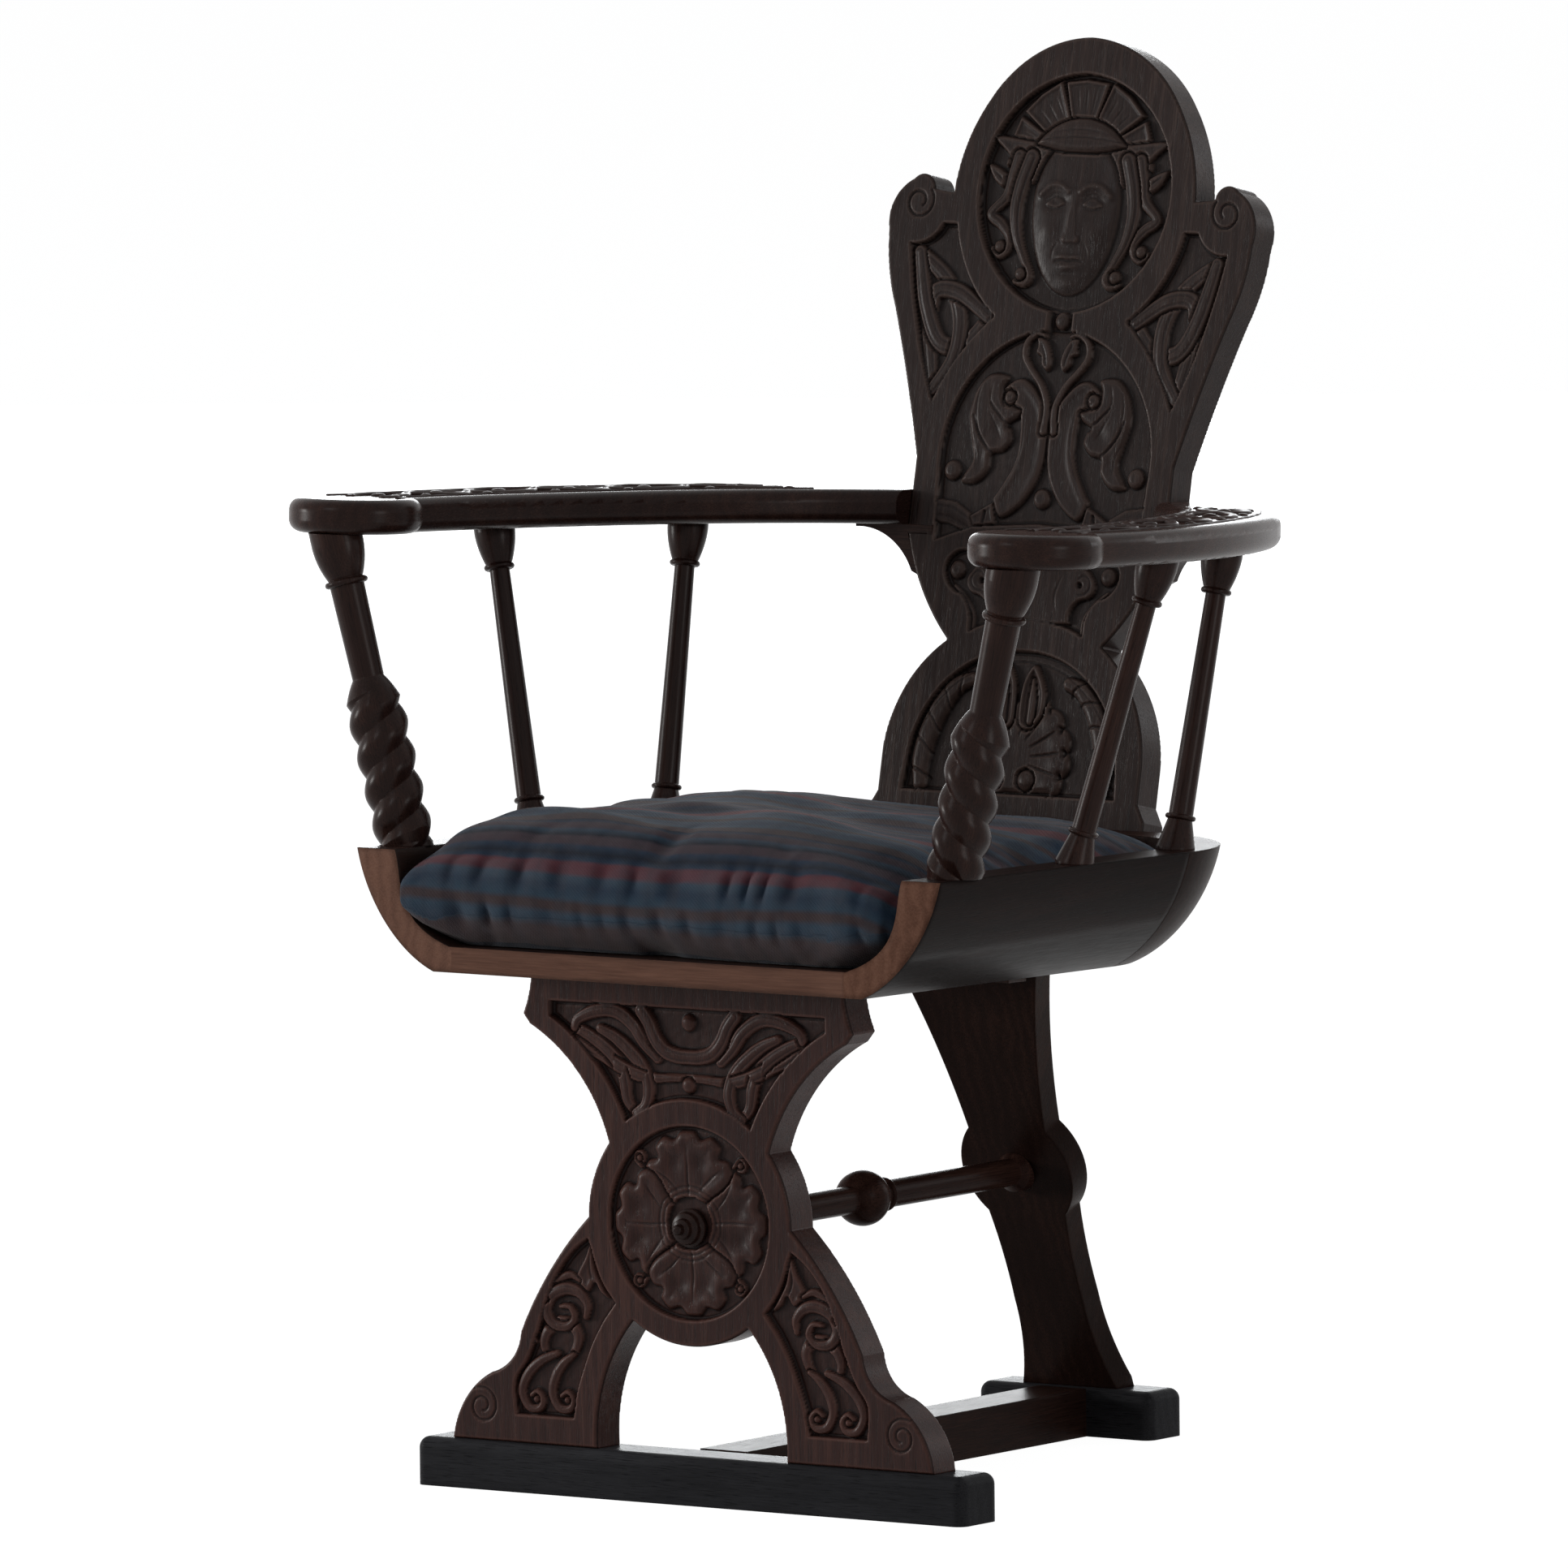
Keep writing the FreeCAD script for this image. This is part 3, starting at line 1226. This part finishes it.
def back_screws():
    """Screws driven from inside the seat through the rear wall into the back board."""
    place = back_place()
    half_width, depth, radius = seat_plan_sizes("bottom")
    flat_half = float(half_width - radius)
    screws, holes = [], []
    for across in SCREW_ACROSS_SHARES:
        for up in SCREW_UP_SHARES:
            start = VECTOR(flat_half * across, num("screw_bite") - num("back_screw_length"),
                           num("seat_wall_height") * up)
            name = "back_screw_%d" % len(screws)
            screw, hole = wood_screw(name, place.multiply(aimed(start, Y_AXIS)), dim("back_screw_length"))
            screws.append(screw)
            holes.append(hole)
    return screws, holes


CLEAT_SCREW_SHARES = (-0.7, 0.7)
CLEAT_SIDE_SCREW_SHARES = (-0.3, 0.3)


def make_cleats():
    """Two battens under the seat, one behind the front support and one before the rear leg."""
    height, width, half = num("cleat_height"), num("cleat_width"), num("cleat_half_length")
    gap = float(CLEARANCE)
    front = PANEL_BACK - SEAT_FRONT + height * SEAT_SLOPE + gap
    leg = rear_leg_face(seat_plane(REAR_LEG_FACE, 0))
    rear = SEAT_FRAME.inverse().multVec(VECTOR(0, leg, seat_plane(leg, 0))).y
    rear = rear - gap - width - height * SEAT_SLOPE
    screws, bores = [], []
    for name, start, side in (("front_seat_cleat", front, -1), ("rear_seat_cleat", rear, 1)):
        batten = block(name + "_bar", (-half, start, -height),
                       (2 * dim("cleat_half_length"), dim("cleat_width"), dim("cleat_height")), SEAT_FRAME)
        middle = start + width / 2
        rows = [(VECTOR(half * share, middle, -height), Z_AXIS) for share in CLEAT_SCREW_SHARES]
        rows += [(VECTOR(half * share, middle - side * width / 2, -height / 2), Y_AXIS * side)
                 for share in CLEAT_SIDE_SCREW_SHARES]
        own = []
        for base, axis in rows:
            screw, hole = wood_screw("%s_screw_%d" % (name, len(own)), SEAT_FRAME.multiply(aimed(base, axis)),
                                     dim("cleat_screw_length"))
            screws.append(screw)
            own.append(hole)
        keep(name, bored(name, batten, own))
        bores.append(own)
    return screws, bores[0], bores[1]


CUSHION_SECTION_SHARES = (
    (0, 0.777, 0.053, 0.94, 1, 0.78),
    (0.097, 0.873, 0.027, 0.969, 0.83, 0.9),
    (0.22, 0.952, 0.009, 0.991, 0.6, 0.97),
    (0.362, 1, 0, 1, 0.43, 1),
    (0.546, 0.987, 0.002, 1, 0.67, 1),
    (0.73, 0.908, 0.031, 0.973, 1, 1),
    (0.872, 0.742, 0.106, 0.903, 1.1, 0.95),
    (0.954, 0.524, 0.221, 0.796, 1, 0.8),
    (1, 0.262, 0.354, 0.668, 0.6, 0.4),
)
DRAW_IN_SHARE = 0.75


def cushion_outline(sketch, half, front, rear, radii):
    """Plan of the cushion with every side drawn in a little between its round corners."""
    draw = dim("cushion_side_draw")
    near, far = radii
    back = half - dim("cushion_taper")
    turn, swing = near * QUARTER_TURN_SHARE, far * QUARTER_TURN_SHARE
    steps = [
        (((half - near) / 2, front + draw * DRAW_IN_SHARE), (half - near, front)),
        ((half - turn, front + turn), (half, front + near)),
        (((half + back) / 2 - draw, (front + near + rear - far) / 2), (back, rear - far)),
        ((back - swing, rear - swing), (back - far, rear)),
        (((back - far) / 2, rear - draw * DRAW_IN_SHARE), (Size(0), rear - draw)),
    ]
    draw_outline(sketch, *mirrored((Size(0), front + draw), steps))


def make_cushion():
    """The loose seat cushion as one crowned solid just clear of the seat."""
    body = new_body("seat_cushion")
    body.Placement = SEAT_FRAME
    half = dim("seat_top_half_width") - dim("cushion_side_inset_width")
    depth, overhang = dim("seat_top_depth") - dim("cushion_rear_inset_depth"), dim("cushion_front_overhang")
    radii = (dim("cushion_front_corner_radius"), dim("cushion_rear_corner_radius"))
    base = dim("seat_floor_thickness") + dim("cushion_clearance")
    sketches = []
    for index, (up, wide, near, far, front_turn, rear_turn) in enumerate(CUSHION_SECTION_SHARES):
        sketch = new_sketch(body, "XY_Plane", "cushion_section_%d" % index)
        height = base + dim("cushion_height") * up
        sketch.AttachmentOffset = FreeCAD.Placement(VECTOR(0, 0, float(height)), FreeCAD.Rotation())
        sketch.setExpression("AttachmentOffset.Base.z", height.formula)
        cushion_outline(sketch, half * wide, depth * near - overhang, depth * far - overhang,
                        (radii[0] * front_turn, radii[1] * rear_turn))
        sketches.append(sketch)
    lofted(body, sketches, ruled=True)
    return keep("seat_cushion", body)


def both_sides(name, pieces):
    """One node that holds some pieces and their mirror images."""
    return keep(name, grouped(name, pieces + [opposite(piece.Name + "_other", piece) for piece in pieces]))


def build():
    below, above = make_spaces()
    front_foot, rear_foot, rail_mortise = make_base()
    front_panel, panel_mortises = make_front_panel(below)
    rear_leg, leg_mortise = make_rear_leg(below)
    stretcher_hole = make_stretcher(rear_leg)
    cleat_screws, front_bores, rear_bores = make_cleats()
    keep("front_foot_rail", bored("front_foot_rail", front_foot, panel_mortises + [rail_mortise]))
    keep("rear_foot", bored("rear_foot", rear_foot, [leg_mortise, rail_mortise]))
    keep("front_leg_panel", bored("front_leg_panel", front_panel, [stretcher_hole] + front_bores))
    keep("rear_leg_panel", bored("rear_leg_panel", rear_leg, [stretcher_hole] + rear_bores))
    keep("cleat_screws", grouped("cleat_screws", cleat_screws))

    side, corner, rear, board, split_x, split_y = make_seat()
    back = make_back()
    back_screw_set, back_bores = back_screws()
    dowels, dowel_holes = seat_dowels(split_x, split_y)
    post_socket = upright_socket("twist_post", POST, "post_tenon_radius")
    front_socket = upright_socket("front_spindle", FRONT_SPINDLE, "spindle_tenon_radius")
    rear_socket = upright_socket("rear_spindle", REAR_SPINDLE, "spindle_tenon_radius")
    keep("seat_bottom_board", bored("seat_bottom_board", board, front_bores + rear_bores))
    side_left = keep("seat_side_left", bored("seat_side_left",
                                             side, [post_socket, front_socket, dowel_holes[0]]))
    keep("seat_side_right", opposite("seat_side_right", side_left))
    corner_left = keep("seat_corner_left", bored("seat_corner_left",
                                                 corner, [rear_socket, back] + dowel_holes))
    keep("seat_corner_right", opposite("seat_corner_right", corner_left))
    rear_hole_other = opposite("seat_rear_hole_other", dowel_holes[1])
    keep("seat_rear_wall", bored("seat_rear_wall",
                                 rear, [back, dowel_holes[1], rear_hole_other] + back_bores))
    both_sides("seat_dowels", dowels)
    keep("back_board_screws", grouped("back_board_screws", back_screw_set))

    arm_pins, arm_holes = arm_dowels()
    arm_holes_other = [opposite(hole.Name + "_other", hole) for hole in arm_holes]
    keep("back_board", bored("back_board", back, back_bores + arm_holes + arm_holes_other))
    both_sides("arm_dowels", arm_pins)
    make_uprights(above)
    make_arm([post_socket, front_socket, rear_socket] + arm_holes)
    make_brackets(above, back)
    make_cushion()
    DOC.recompute()


def check():
    """Stop before anything is written if any object failed or any piece is not sound."""
    faults = []
    for thing in DOC.Objects:
        if "Invalid" in thing.State or "Error" in thing.State:
            faults.append("%s: %s" % (thing.Name, thing.State))
    for node, piece in NODES.items():
        shape = piece.Shape
        if shape.isNull() or not shape.isValid() or not shape.Solids or shape.Volume <= 0:
            faults.append("%s: not a sound solid" % node)
    if faults:
        raise RuntimeError("; ".join(faults))


def export():
    os.makedirs("parts", exist_ok=True)
    for node, piece in NODES.items():
        piece.Shape.exportStep(os.path.join("parts", node + ".step"))


build()
check()
export()
